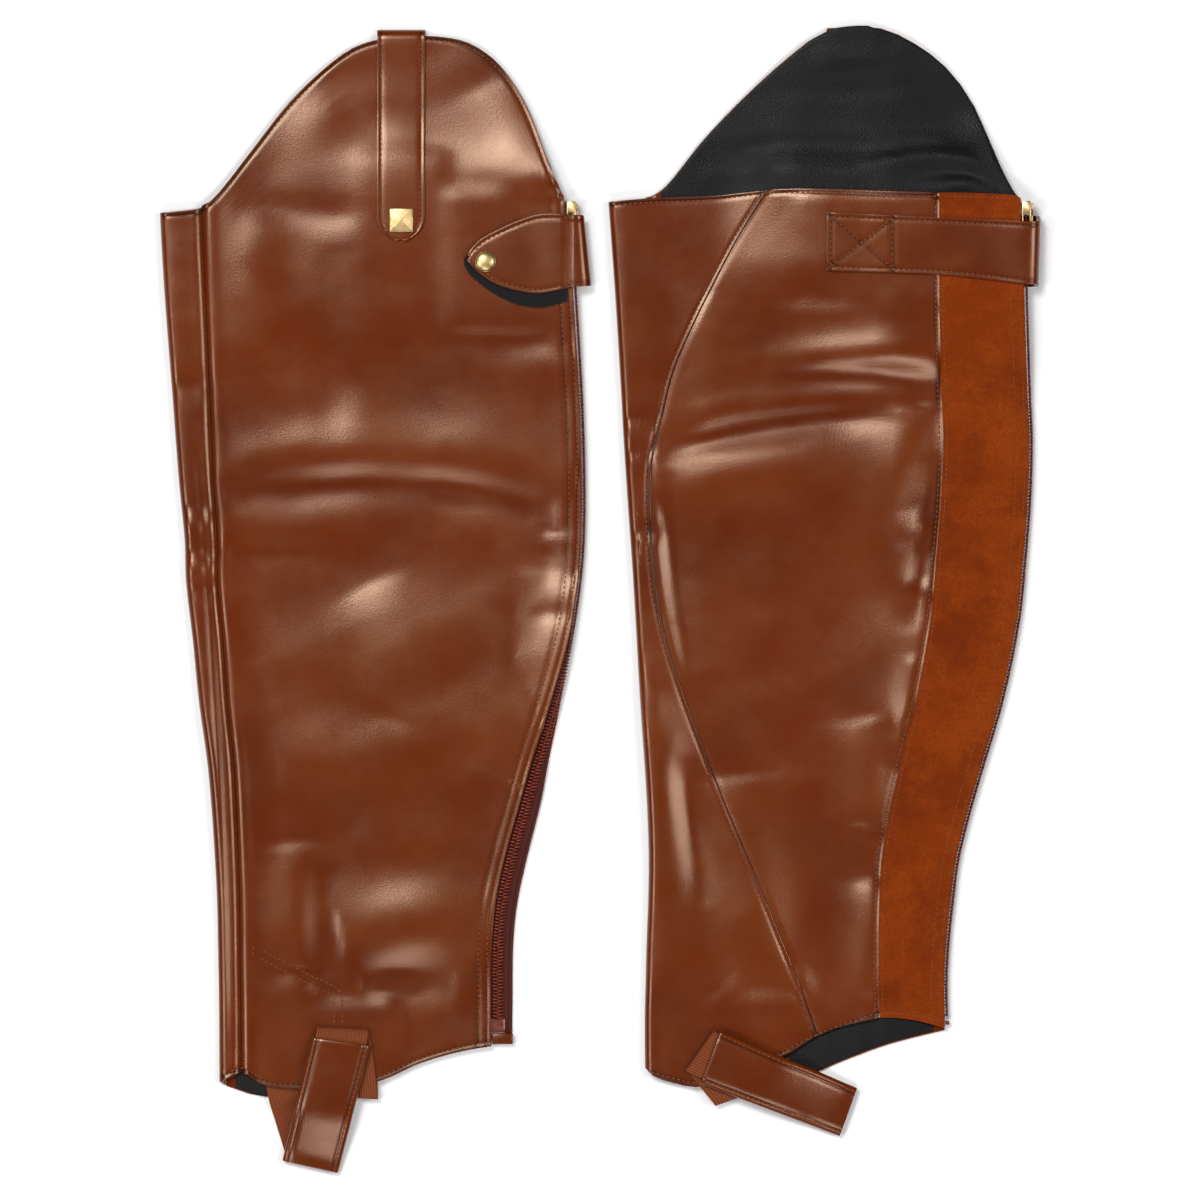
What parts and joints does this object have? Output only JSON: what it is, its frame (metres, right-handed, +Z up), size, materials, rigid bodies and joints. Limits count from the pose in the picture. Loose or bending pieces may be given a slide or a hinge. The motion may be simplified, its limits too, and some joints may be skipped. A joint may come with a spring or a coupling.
{
  "type": "pair of leather gaiters",
  "caption": "Pair of zipped leather gaiters with raised tops, foot elastics and strap closures, laid flat side by side.",
  "frame": {"origin": "middle of the bounding box seen from above, on the surface that the pair lies on", "axes": "+Y runs up the legs from the hems to the raised tops, +X to the right as pictured, +Z up from the surface"},
  "size_m": [0.421, 0.5508, 0.0152],
  "materials": {
    "leather": "smooth, semi-gloss",
    "suede": "suede, matt",
    "lining": "smooth lining with a low sheen",
    "felt": "matt felt",
    "zip": "woven tape",
    "coil": "nylon coil",
    "elastic": "ribbed elastic webbing",
    "gold": "polished pale gold"
  },
  "bodies": {
    "gaiters": {"left_shin_panel": "leather", "left_lateral_panel": "leather", "left_medial_panel": "leather", "left_strap": "leather", "left_top_tab": "leather", "left_zip_end": "leather", "left_foot_sleeve": "leather", "left_suede_panel": "suede", "left_top_lining": "lining", "left_hem_lining": "lining", "left_strap_patch": "felt", "left_zip_tape": "zip", "left_zip_coil": "coil", "left_foot_elastic": "elastic", "left_snap": "gold", "left_stud": "gold", "left_zip_slider": "gold", "right_shin_panel": "leather", "right_lateral_panel": "leather", "right_medial_panel": "leather", "right_strap": "leather", "right_top_tab": "leather", "right_zip_end": "leather", "right_foot_sleeve": "leather", "right_suede_panel": "suede", "right_top_lining": "lining", "right_hem_lining": "lining", "right_strap_patch": "felt", "right_zip_tape": "zip", "right_zip_coil": "coil", "right_foot_elastic": "elastic", "right_snap": "gold", "right_stud": "gold", "right_zip_slider": "gold"},
    "left_pull": {"left_zip_pull": "gold"},
    "right_pull": {"right_zip_pull": "gold"}
  },
  "joints": [
    {"name": "left_pull_hinge", "type": "hinge", "parent": "gaiters", "child": "left_pull", "pos_m": [-0.01158, 0.18669, 0.00582], "axis": [0, 0, 1], "range_deg": [0, 5]},
    {"name": "right_pull_hinge", "type": "hinge", "parent": "gaiters", "child": "right_pull", "pos_m": [0.20585, 0.18669, 0.00962], "axis": [0, 0, 1], "range_deg": [0, 2]}
  ]
}
